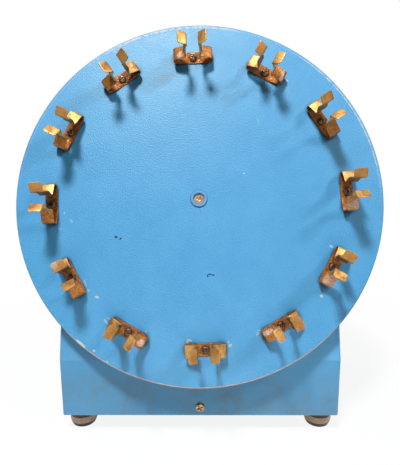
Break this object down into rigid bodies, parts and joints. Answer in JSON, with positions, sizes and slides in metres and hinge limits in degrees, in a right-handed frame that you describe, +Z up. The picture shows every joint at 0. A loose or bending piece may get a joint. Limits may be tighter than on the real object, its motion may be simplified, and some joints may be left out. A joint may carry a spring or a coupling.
{
  "type": "tube rotator",
  "caption": "Bench tube rotator: a tilted painted disc with a ring of spring clips for test tubes, turned slowly by a geared motor in a sheet-metal housing on feet.",
  "frame": {"origin": "on the bench, under the middle of the machine's bounding box", "axes": "+Z up, -Y towards the user (the disc faces -Y and up), +X to the right seen from the front"},
  "size_m": [0.3048, 0.2527, 0.3469],
  "materials": {
    "blue_paint": "mid-blue gloss enamel on sheet steel, worn",
    "disc_paint": "sky-blue gloss enamel, bare metal at the worn rim",
    "clip_spring_steel": "bronze-coloured plated spring strip with rust",
    "bronzed_screw": "tarnished plated steel",
    "zinc_steel": "zinc plated",
    "foot_plastic": "taupe moulded plastic",
    "foot_rubber": "black rubber",
    "ground_steel": "ground steel",
    "plate_aluminium": "satin",
    "sintered_bronze": "oil-filled sintered bronze",
    "wheel_plastic": "natural nylon",
    "motor_steel": "plated steel pressing",
    "winding_copper": "enamelled copper wire",
    "ferrite": "ferrite",
    "black_plastic": "moulded black"
  },
  "bodies": {
    "base": {"housing_shell": "blue_paint", "base_plate": "blue_paint", "rear_panel": "blue_paint", "case_screws": "bronzed_screw", "foot_front_left": "foot_plastic", "foot_front_right": "foot_plastic", "foot_rear_left": "foot_plastic", "foot_rear_right": "foot_plastic", "foot_pads": "foot_rubber", "foot_screws": "zinc_steel", "foot_nuts": "zinc_steel", "gear_plate_front": "plate_aluminium", "gear_plate_rear": "plate_aluminium", "gear_posts": "zinc_steel", "panel_screws": "zinc_steel", "gear_plate_screws": "zinc_steel", "shaft_bush_front": "sintered_bronze", "shaft_bush_rear": "sintered_bronze", "idler_pin": "zinc_steel", "motor_flange": "motor_steel", "motor_can": "motor_steel", "coil_bobbin": "wheel_plastic", "coil_winding": "winding_copper", "motor_screws": "zinc_steel", "capacitor": "plate_aluminium", "capacitor_clamp": "zinc_steel", "terminal_block": "black_plastic", "base_screws": "zinc_steel", "power_inlet": "black_plastic", "inlet_pins": "sintered_bronze", "inlet_screws": "zinc_steel", "switch_body": "black_plastic"},
    "disc_assembly": {"disc": "disc_paint", "disc_hub": "disc_paint", "hub_set_screw": "zinc_steel", "drive_shaft": "ground_steel", "cross_pin": "zinc_steel", "output_gear": "ground_steel", "clip_01": "clip_spring_steel", "clip_02": "clip_spring_steel", "clip_03": "clip_spring_steel", "clip_04": "clip_spring_steel", "clip_05": "clip_spring_steel", "clip_06": "clip_spring_steel", "clip_07": "clip_spring_steel", "clip_08": "clip_spring_steel", "clip_09": "clip_spring_steel", "clip_10": "clip_spring_steel", "clip_11": "clip_spring_steel", "clip_12": "clip_spring_steel", "clip_screws": "bronzed_screw", "clip_washers": "zinc_steel", "clip_nuts": "zinc_steel"},
    "idler": {"idler_pinion": "ground_steel", "idler_wheel": "wheel_plastic"},
    "rotor": {"rotor_magnet": "ferrite", "motor_shaft": "ground_steel", "motor_pinion": "ground_steel"},
    "rocker": {"switch_rocker": "black_plastic"}
  },
  "joints": [
    {"name": "disc_spin", "type": "hinge", "parent": "base", "child": "disc_assembly", "pos_m": [0, -0.06099, 0.2], "axis": [0, -0.9659, 0.2588], "continuous": true},
    {"name": "idler_spin", "type": "hinge", "parent": "base", "child": "idler", "pos_m": [0.02598, -0.0359, 0.17775], "axis": [0, -0.9659, 0.2588], "continuous": true},
    {"name": "rotor_spin", "type": "hinge", "parent": "base", "child": "rotor", "pos_m": [0.00104, -0.0203, 0.15866], "axis": [0, -0.9659, 0.2588], "continuous": true},
    {"name": "power_switch", "type": "hinge", "parent": "base", "child": "rocker", "pos_m": [0.024, 0.1211, 0.05], "axis": [1, 0, 0], "range_deg": [0, 18]}
  ],
  "couplings": [
    {"joint": "idler_spin", "follows": "disc_spin", "ratio": -3},
    {"joint": "rotor_spin", "follows": "disc_spin", "ratio": 15}
  ]
}
